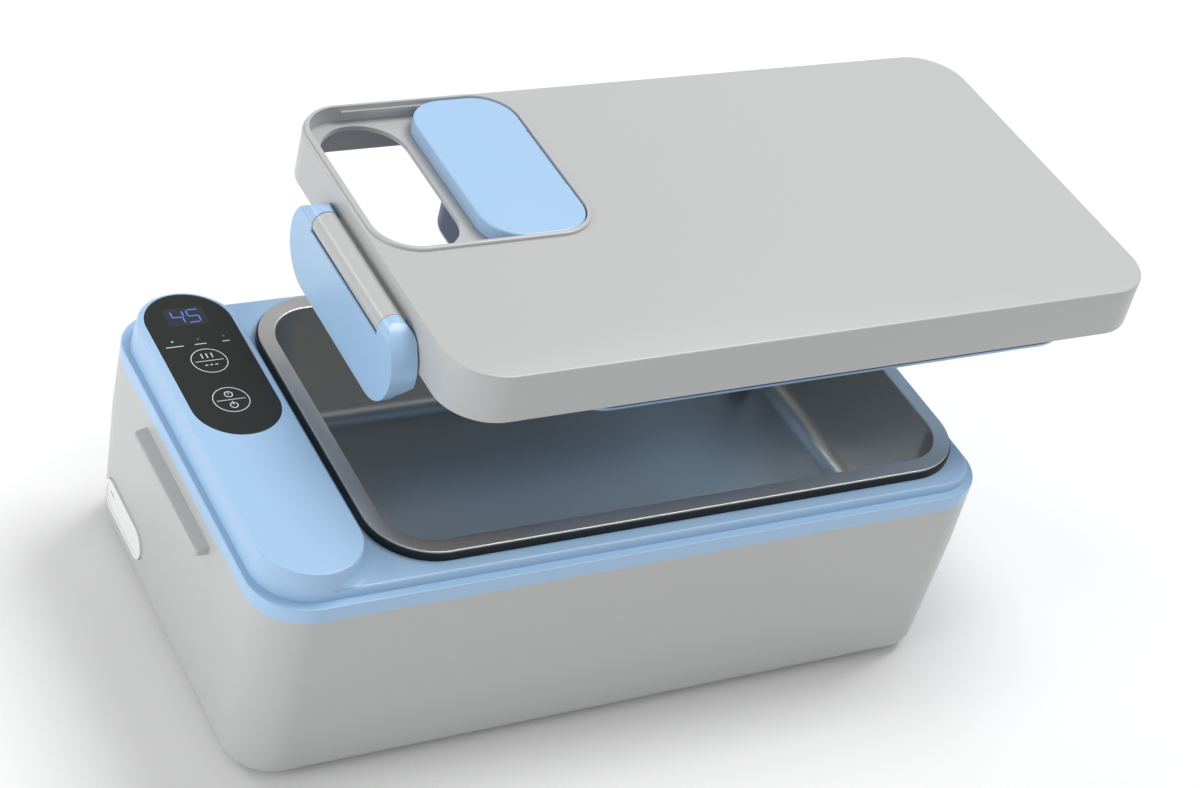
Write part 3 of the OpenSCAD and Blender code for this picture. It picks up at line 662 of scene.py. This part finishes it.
def digit_bar(at, level):
    """One bar with pointed ends, lying level or upright."""
    length = (digit_w if level else digit_h / 2) - bar_gap
    size = (length, bar_t) if level else (bar_t, length)
    point = bar_t * 0.499  # just under half the width, so that the ends come to a point
    bar = start_outline("bar", at, size[0], size[1], point, ink_z, steps=1)
    lift(ink_t)
    make_solid()
    return bar


bars = []
for shift, parts in ((-digit_step / 2, FOUR), (digit_step / 2, FIVE)):
    for part in parts:
        across, up, level = PARTS[part]
        at = (window_at[0] + shift + across * digit_w + up * digit_h * lean, window_at[1] + up * digit_h)
        bars.append(digit_bar(at, level))
finish_piece(join_all(bars, "display_digits"), "base", digit_light, "black_panel")

# %% [markdown]
# Each touch key is a thin ring with a bar across its middle and a small sign above and below it. The signs
# are generic: three lines of warmth over a dashed line, and a clock over the common on-off sign.


# %% Make the printed rings and signs
def ink_ring(at, radius, line):
    """A thin printed circle."""
    ring = rod("ring", (at[0], at[1], ink_z + ink_t / 2), radius, ink_t, turn=UPRIGHT)
    combine(ring, rod("hole", (at[0], at[1], ink_z), radius - line, 1, turn=UPRIGHT), "DIFFERENCE")
    return ring


def ink_bar(at, length, width):
    """A thin printed bar."""
    return block("bar", (at[0] - length / 2, at[1] - width / 2, ink_z),
                 (at[0] + length / 2, at[1] + width / 2, ink_z + ink_t))


marks = []
key_x, upper_y, lower_y = hump_x - 0.15, 31.9, 13.1
key_r, key_line, key_bar, bar_in = 5.7, 0.24, 0.22, 1.2
for key_y in (upper_y, lower_y):
    marks.append(ink_ring((key_x, key_y), key_r, key_line))
    marks.append(ink_bar((key_x, key_y), 2 * (key_r - bar_in), key_bar))
# Upper key: three lines of warmth above the bar, a dashed line below it.
sign_step, heat_up, dash_down = 1.6, 2.4, 2.0
heat_line, dash = (0.35, 2.2), (0.9, 0.35)
for shift in (-sign_step, 0, sign_step):
    marks.append(ink_bar((key_x + shift, upper_y + heat_up), *heat_line))
    marks.append(ink_bar((key_x + shift, upper_y - dash_down), *dash))
# Lower key: a clock above the bar and the on-off sign below it.
sign_line, clock_up, clock_r, power_down, power_r = 0.28, 2.5, 1.35, 2.6, 1.3
clock_hand, hand_up, power_stroke, stroke_up = (0.25, 0.9), 0.4, (0.28, 1.5), 1.1
marks.append(ink_ring((key_x, lower_y + clock_up), clock_r, sign_line))
marks.append(ink_bar((key_x, lower_y + clock_up + hand_up), *clock_hand))
marks.append(ink_ring((key_x, lower_y - power_down), power_r, sign_line))
marks.append(ink_bar((key_x, lower_y - power_down + stroke_up), *power_stroke))
# A short bar stands for the word under each lamp.
lens_low, lens_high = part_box("indicator_lenses")
lens_y = (lens_low[1] + lens_high[1]) / 2 / MM
lens_r, lamp_r, lamp_sunk = 0.7, 0.38, 2
lens_x = [lens_low[0] / MM + lens_r, hump_x, lens_high[0] / MM - lens_r]
word_lengths, word_down, word_h = (5.6, 3.8, 2.4), 2.5, 0.3
for x, length in zip(lens_x, word_lengths):
    marks.append(ink_bar((x, lens_y - word_down), length, word_h))
finish_piece(join_all(marks, "printed_marks"), "base", white_ink, "black_panel")

LAMPS = {"lit_lamp": lamp_light, "unlit_lamp_1": clear_lens, "unlit_lamp_2": clear_lens}
for x, (name, finish) in zip(lens_x, LAMPS.items()):
    lamp = rod(name, (x, lens_y, ink_z + (ink_t - lamp_sunk) / 2), lamp_r, ink_t + lamp_sunk, turn=UPRIGHT,
               sides=24)
    finish_piece(lamp, "base", finish, "clear_lens", "indicator_lenses")

# %% [markdown]
# ## The tray and its seat
# The tray is drawn from one sheet. Its flange is flat, its mouth rolls over with a tight radius, the wall
# draws in slightly and the floor meets it in a generous fillet. The inside and the underside are shaped
# from the two faces of one thin plate, so the sheet keeps its thickness all the way.

# %% Shape the tray
flange_z = ring_high[2] / MM
tray_top = tray_high[2] / MM
flange_in, flange_r, flange_edge, sheet = 5.2, 20.4, 0.2, 0.7
tray_floor = tray_low[2] / MM + sheet
mouth_r, draw, floor_r = 0.5, 1.5, 6.3
tray = start_outline("tray_sheet", (tray_x, 0), flange_l, flange_w, flange_r, flange_z, steps=16)
lift(tray_top - flange_z - flange_edge)
round_edge(flange_edge, steps=2)
draw_in(flange_in - flange_edge - mouth_r * 0.5, 0)
roll_over(mouth_r)
draw_in(draw - mouth_r * 0.5, tray_floor + floor_r - tray_top + mouth_r)
round_edge(floor_r, way=-1, steps=8)
pick_face(tray, flange_z)
draw_in(flange_in - sheet - mouth_r * 0.5, 0)
roll_over(mouth_r)
draw_in(draw - mouth_r * 0.5, tray_floor + floor_r - flange_z + mouth_r)
round_edge(floor_r + sheet, way=-1, steps=8)
make_solid()
smooth(tray)
finish_piece(tray, "tray", tray_steel, "brushed_tray", "food_tray")

# %% [markdown]
# The flange rests on a silicone ring, which keeps steam in and steel off the plastic. It shows as a thin
# black line round the flange. A plate with a rounded upper edge and a hole is all it takes.

# %% Shape the silicone seat under the flange
seat_l, seat_w = [(b - a) / MM for a, b in zip(ring_low[:2], ring_high[:2])]
seat_r, seat_edge, seat_in = 20.9, 0.4, 4
seat = start_outline("seat_ring", (tray_x, 0), seat_l, seat_w, seat_r, deck_z, steps=16)
lift(flange_z - deck_z - seat_edge)
round_edge(seat_edge, steps=3)
make_solid()
combine(seat, prism("seat_hole", (tray_x, 0), flange_l - 2 * seat_in, flange_w - 2 * seat_in,
                    flange_r - seat_in, deck_z - 1, flange_z + 1), "DIFFERENCE")
smooth(seat)
finish_piece(seat, "base", black_silicone, "black_silicone", "tray_seat_ring")

# %% [markdown]
# ## The port cover
# The silicone cover follows the rounded end of the tub. So it is cut from a slightly larger tub: the
# stadium bar, kept only where it lies in the larger form, and hollowed with a smaller one.

# %% Shape the port cover
port = port_prism("port_flap", 0)
port_proud, port_sunk = 0.7, 1.45
dish_in, dish_floor = 1.3, 0.35
slot_near, slot_far, slot_low, slot_high = 7.5, 4.5, 0.4, 1.6
combine(port, skin("port_skin", port_proud), "INTERSECT")
combine(port, skin("port_back", -port_sunk), "DIFFERENCE")
dish = port_prism("port_dish", -dish_in)
combine(dish, skin("dish_floor", dish_floor), "DIFFERENCE")
combine(port, dish, "DIFFERENCE")
port_end = port_y + port_l / 2
combine(port, block("pull_slot", (-body_l / 2 - reach, port_end - slot_near, port_z + slot_low),
                    (-body_l / 2 + side_draft, port_end - slot_far, port_z + slot_high)), "DIFFERENCE")
soften(port, 0.45, angle=50)
finish_piece(port, "port_cover", white_silicone, "white_silicone", "charge_port_cover")

# %% [markdown]
# ## The lid
# The lid is a shallow shell. It is drawn round its own middle, at the level of its lower edge, and moved
# to its place at the end. The recess for the sliding cover sits in the top, with a raised lip round it.

# %% Shape the lid's shell
lid_h, skirt, top_t, lid_edge = 16.7, 1.9, 2.0, 0.7
lid = start_outline("lid_moulding", (0, 0), body_l, body_w, rim_r, 0, steps=16)
lift(lid_h - lid_edge)
round_edge(lid_edge)
pick_face(lid, 0)
draw_in(skirt, 0)
lift(lid_h - top_t)
make_solid()
print("lid", round(body_l, 1), "x", round(body_w, 1), "x", lid_h, "mm")

# %% [markdown]
# The recess is a small pan in the lid's top. Its wall is joined on first, then the lip, and one prism cuts
# both open, so that wall and lip share one inner face. The window goes through the floor that is left.

# %% Add the recess, the window and the lip
cover_node_low, cover_node_high = [Vector(c) / MM - lid_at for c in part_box("panel_cover")]
recess_l, recess_w, recess_r = 71.9, 73.8, 13.2
recess_end = -body_l / 2 + 2.5
recess_x = recess_end + recess_l / 2
recess_y = (cover_node_low.y + cover_node_high.y) / 2 + 1.9
recess_z, recess_t = lid_h - 4.8, 1.6
lip_w, lip_h = 1.4, 1.0
combine(lid, prism("recess_wall", (recess_x, recess_y), recess_l + 2 * recess_t, recess_w + 2 * recess_t,
                   recess_r + recess_t, recess_z - recess_t, lid_h - 0.5, steps=16), "UNION")
lip_sunk = 0.9
lip = start_outline("lip", (recess_x, recess_y), recess_l + 2 * lip_w, recess_w + 2 * lip_w,
                    recess_r + lip_w, lid_h - lip_sunk, steps=16)
lift(lip_sunk + lip_h - lip_w / 2)
round_edge(lip_w / 2, steps=6)
make_solid()
combine(lid, lip, "UNION")
past_lid = 4  # how far the next two tools pass the lid's top and the recess's floor
combine(lid, prism("recess_cut", (recess_x, recess_y), recess_l, recess_w, recess_r, recess_z,
                   lid_h + past_lid, steps=16), "DIFFERENCE")
opening_at, opening_w, opening_l = (panel_x + 0.3, panel_y - 0.4), panel_w + 1.2, panel_l - 1.6
combine(lid, stadium_prism("window_cut", opening_at, opening_w, opening_l, recess_z - past_lid,
                           recess_z + reach, steps=20), "DIFFERENCE")
print("recess", recess_l, "x", recess_w, "mm, window", round(opening_w, 1), "x", round(opening_l, 1), "mm")

# %% [markdown]
# A rail on each long side of the recess holds the sliding cover down. The rails stop before the round
# corners, where a straight rail would stand clear of the wall.

# %% Add the cover's rails
rail_z, rail_h, rail_d, sunk = recess_z + 3.0, 1.2, 1.0, 0.01
rail_from, rail_to = recess_end + recess_r + 1.8, recess_end + recess_l - recess_r
for side in (-1, 1):
    wall = recess_y + side * recess_w / 2
    near, far = sorted((wall, wall - side * rail_d))
    combine(lid, block("rail", (rail_from, near - sunk, rail_z), (rail_to, far + sunk, rail_z + rail_h)),
            "UNION")
print("rails", round(rail_to - rail_from, 1), "mm long")

# %% [markdown]
# The latch turns on a pin in a grey barrel, which a web joins to the lid's end wall. The barrel takes its
# place from the pin in the frame, so the joint and the dressed pieces share one line.

# %% Add the hinge barrel
pin_low, pin_high = [Vector(c) / MM - lid_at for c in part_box("latch_pin")]
hinge_x, hinge_y, hinge_z = (pin_low + pin_high) / 2
barrel_r, barrel_l = 4.2, 50.6
web_low, web_high = hinge_z - barrel_r + 0.8, hinge_z + 1.5
barrel_near, barrel_far = hinge_y - barrel_l / 2, hinge_y + barrel_l / 2
combine(lid, block("web", (hinge_x, barrel_near, web_low), (-body_l / 2 + 1, barrel_far, web_high)),
        "UNION")
combine(lid, rod("barrel", (hinge_x, hinge_y, hinge_z), barrel_r, barrel_l), "UNION")
soften(lid, 0.3, angle=45, steps=2)
move_mesh(lid, lid_at)
finish_piece(lid, "lid", grey_abs, "grey_plastic", "lid_shell")

# %% [markdown]
# ## The inner lid
# Under the shell hangs a cup that closes the tray. Its flange and its drawn-down wall are painted a darker
# blue, as painted shade for the deep shadow under the shell, and its sole keeps the lighter blue of the
# frame. The cup is open at the top and hollow, like a moulded one.

# %% Shape the inner lid
inner_low, inner_high = [Vector(c) / MM - lid_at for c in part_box("inner_lid")]
plate_l, plate_w = inner_high.x - inner_low.x, inner_high.y - inner_low.y
plate_t, plate_r, plug_in, plug_fillet, plug_more = 1.6, 23.5, 6.9, 1.2, 2.0
sole_t, cup_floor = 1.6, 0.4
inner = start_outline("inner_lid_cup", (tray_x, 0), plate_l, plate_w, plate_r, inner_high.z, steps=16)
lift(-plate_t)
draw_in(plug_in, 0)
sole_top = inner_low.z - plug_more + sole_t
lift(sole_top - inner_high.z + plate_t)
make_solid()
plug_l, plug_w, plug_r = plate_l - 2 * plug_in, plate_w - 2 * plug_in, plate_r - plug_in
combine(inner, prism("cup_room", (tray_x, 0), plug_l - 2 * plate_t, plug_w - 2 * plate_t, plug_r - plate_t,
                     sole_top + cup_floor, inner_high.z + 1, steps=16), "DIFFERENCE")
soften(inner, 0.3)
move_mesh(inner, lid_at)
# The flange and wall carry the darker blue, painted shade for the shadow under the shell.
finish_piece(inner, "lid", painted_shade_blue, "blue_plastic", "inner_lid")

sole = start_outline("inner_lid_sole", (tray_x, 0), plug_l, plug_w, plug_r, sole_top, steps=16)
lift(plug_fillet - sole_t)
round_edge(plug_fillet, way=-1)
make_solid()
smooth(sole)
move_mesh(sole, lid_at)
finish_piece(sole, "lid", blue_abs, "blue_plastic")

# %% [markdown]
# ## The sliding cover
# The blue cover runs in the recess on two rails. It is a shallow tray upside down, with a groove along
# each side and a finger nick at the end.

# %% Shape the sliding cover
cover_l = cover_node_high.x - cover_node_low.x
cover_w = cover_node_high.y - cover_node_low.y
cover_x = (cover_node_low.x + cover_node_high.x) / 2
cover_h = cover_node_high.z - cover_node_low.z
cover_r = recess_r - 0.25
cover_edge, cover_wall, cover_t, groove_d, groove_gap = 0.8, 2.8, 1.6, 1.2, 0.3
cover = start_outline("window_cover", (cover_x, recess_y), cover_l, cover_w, cover_r, cover_node_low.z,
                      steps=16)
lift(cover_h - cover_edge)
round_edge(cover_edge)
pick_face(cover, cover_node_low.z)
draw_in(cover_wall, 0)
lift(cover_h - cover_t)
make_solid()
for side in (-1, 1):
    edge_y = recess_y + side * cover_w / 2
    near, far = sorted((edge_y - side * groove_d, edge_y + side))
    combine(cover, block("groove", (cover_x - cover_l, near, rail_z - groove_gap),
                         (cover_x + cover_l, far, rail_z + rail_h + groove_gap)), "DIFFERENCE")
nick_x, nick_y = cover_x + cover_l / 2, recess_y + 1
nick_in, nick_half, nick_d = 1.1, 15, 0.5
combine(cover, block("nick", (nick_x - nick_in, nick_y - nick_half, cover_node_high.z - nick_d),
                     (nick_x + 1, nick_y + nick_half, cover_node_high.z + 1)), "DIFFERENCE")
soften(cover, 0.15, angle=45, steps=2)
move_mesh(cover, lid_at)
finish_piece(cover, "slider", blue_abs, "blue_plastic", "panel_cover")

# %% [markdown]
# ## The latch
# The latch is a long plate with half-round ends. Two ears turn on the pin beside the grey barrel, and the
# lower edge turns in as a hook. The side view is a round ear, a plate and a wedge, and the stadium outline
# is cut from them in one go.

# %% Shape the latch
latch_low, latch_high = [Vector(c) / MM - lid_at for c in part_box("latch")]
latch_l, latch_h = latch_high.y - latch_low.y, latch_high.z - latch_low.z
latch_t, ear_r, ear_in, ear_drop, wedge_rise = 3.3, 4.3, 4.1, 19, 5.5
play, room, notch_drop, overlap = 0.3, 0.35, 2.6, 0.5
hinge_at = (hinge_x, hinge_y, hinge_z)
latch = rod("latch_moulding", hinge_at, ear_r, latch_l)
combine(latch, block("plate", latch_low, (latch_low.x + latch_t, latch_high.y, hinge_z)), "UNION")
ear = block("ear", (latch_low.x + overlap, latch_low.y, hinge_z - ear_drop),
            (hinge_x + ear_in, latch_high.y, hinge_z))
bpy.ops.object.mode_set(mode="EDIT")
pick_vertices(ear, lambda at: at.z < hinge_z - ear_drop / 2 and at.x > hinge_x)
bpy.ops.transform.translate(value=(0, 0, wedge_rise * MM))
bpy.ops.object.mode_set(mode="OBJECT")
combine(latch, ear, "UNION")
hook_tip, hook_h = -body_l / 2 - 1.4, 2.8
hook = block("hook", (latch_low.x + overlap, barrel_near, latch_low.z),
             (hook_tip, barrel_far, latch_low.z + hook_h))

outline_t = 30
outline = stadium_prism("latch_outline", (0, 0), latch_h, latch_l, 0, outline_t, steps=20)
stand_up(outline)
move_mesh(outline, (hinge_x, hinge_y, (latch_low.z + latch_high.z) / 2))

combine(latch, rod("barrel_room", hinge_at, barrel_r + room, barrel_l + 2 * play), "DIFFERENCE")
notch_near = barrel_near - play
past = (hinge_x + 20, barrel_far + play, hinge_z + 20)  # a corner well clear of the latch
combine(latch, block("notch", (hinge_x - 10, notch_near, hinge_z - notch_drop), past), "DIFFERENCE")
combine(latch, block("back", (latch_low.x + latch_t, notch_near, latch_low.z - 1), past), "DIFFERENCE")
combine(latch, hook, "UNION")
combine(latch, outline, "INTERSECT")
bore_r, pin_l = 1.25, pin_high.y - pin_low.y
combine(latch, rod("bore", hinge_at, bore_r, pin_l + 2 * play, sides=32), "DIFFERENCE")
soften(latch, 0.6, angle=45)
move_mesh(latch, lid_at)
finish_piece(latch, "latch_body", blue_abs, "blue_plastic", "latch")

# %% [markdown]
# ## Finishes for the pieces that stay as they are
# Screws, feet, boards, cells and the heater have their true shapes in the CAD already. They only need the
# right surface, which goes into the slot that their mesh already has.

# %% Give the CAD pieces their surfaces
PLAIN = {"bottom_cover": grey_abs, "bottom_screws": pin_steel, "rubber_feet": white_silicone,
         "display_module": display_dark, "control_board": board_mask,
         "heating_well": well_coating, "heater_plate": heater_foil, "thermal_cutout": display_dark,
         "well_insulation": felt, "battery_cradle": dark_abs, "battery_cells": cell_wrap,
         "power_board": board_mask, "charge_socket": pin_steel, "lid_gasket": white_silicone,
         "latch_pin": pin_steel}
for node, finish in PLAIN.items():
    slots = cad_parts[node].material_slots
    for i in range(len(slots)):
        slots[i].material = finish
    if not slots:
        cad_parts[node].data.materials.append(finish)
print(len(PLAIN), "CAD pieces surfaced")

# %% [markdown]
# ## The stage
# A wide pale floor keeps the soft shadow. A large lamp hangs above and lights the lid's top. A low one
# stands off the latch end and lights the end wall. A small one behind that end draws bright lines along the
# edges. The front gets only the world's light, so that it is a step darker.

# %% Build the floor, the lamps and the world
drop_all()
bpy.ops.mesh.primitive_plane_add(size=12, location=(0, 0, 0))
floor = bpy.context.object
floor.name = "floor"
floor_paint, tree, shader = start_finish("pale_floor", "#F6F6F6", 0.9)
floor.data.materials.append(floor_paint)


def add_lamp(name, place, aim, size, power):
    """A square soft lamp that faces a point."""
    light = bpy.data.lights.new(name, "AREA")
    light.size = size
    light.energy = power
    lamp = bpy.data.objects.new(name, light)
    lamp.location = place
    lamp.rotation_euler = (Vector(aim) - Vector(place)).to_track_quat("-Z", "Y").to_euler()
    bpy.context.scene.collection.objects.link(lamp)


BOX_MIDDLE = (0, 0, 0.08)
add_lamp("key_lamp", (0.7, 0.3, 1.5), BOX_MIDDLE, 0.8, 18)
add_lamp("end_lamp", (-1.5, -0.2, 0.42), BOX_MIDDLE, 0.7, 7.8)
add_lamp("edge_lamp", (-0.9, 0.97, 0.75), BOX_MIDDLE, 0.3, 2.2)
world = bpy.data.worlds.new("soft_room")
world.use_nodes = True
bpy.context.scene.world = world
sky = world.node_tree.nodes["Background"]
sky.inputs["Color"].default_value = (1, 1, 1, 1)
sky.inputs["Strength"].default_value = 0.48
print(len(bpy.data.lights), "lamps")

# %% [markdown]
# ## The camera
# A camera is placed by where it stands, where it looks and how it is rolled. The box is seen from the
# front left and from well above, with the camera rolled a little, so that the box leans to the right.

# %% Set the camera
CAMERA_AT = Vector((-393.3, -564.3, 600.5)) * MM
turn, tilt, roll = (math.radians(a) for a in (35.895, 37.065, 15.261))
look = Vector((math.cos(tilt) * math.sin(turn), math.cos(tilt) * math.cos(turn), -math.sin(tilt)))
lens = bpy.data.cameras.new("camera")
lens.sensor_width = 36
lens.sensor_fit = "HORIZONTAL"
lens.lens = 82.58
camera = bpy.data.objects.new("camera", lens)
camera.location = CAMERA_AT
camera.rotation_mode = "QUATERNION"
camera.rotation_quaternion = look.to_track_quat("-Z", "Y") @ Quaternion((0, 0, 1), roll)
bpy.context.scene.collection.objects.link(camera)
bpy.context.scene.camera = camera
bpy.context.scene.view_settings.view_transform = "Standard"
print("camera at", [round(v, 3) for v in CAMERA_AT], "m, its lens", round(lens.lens, 2), "mm")
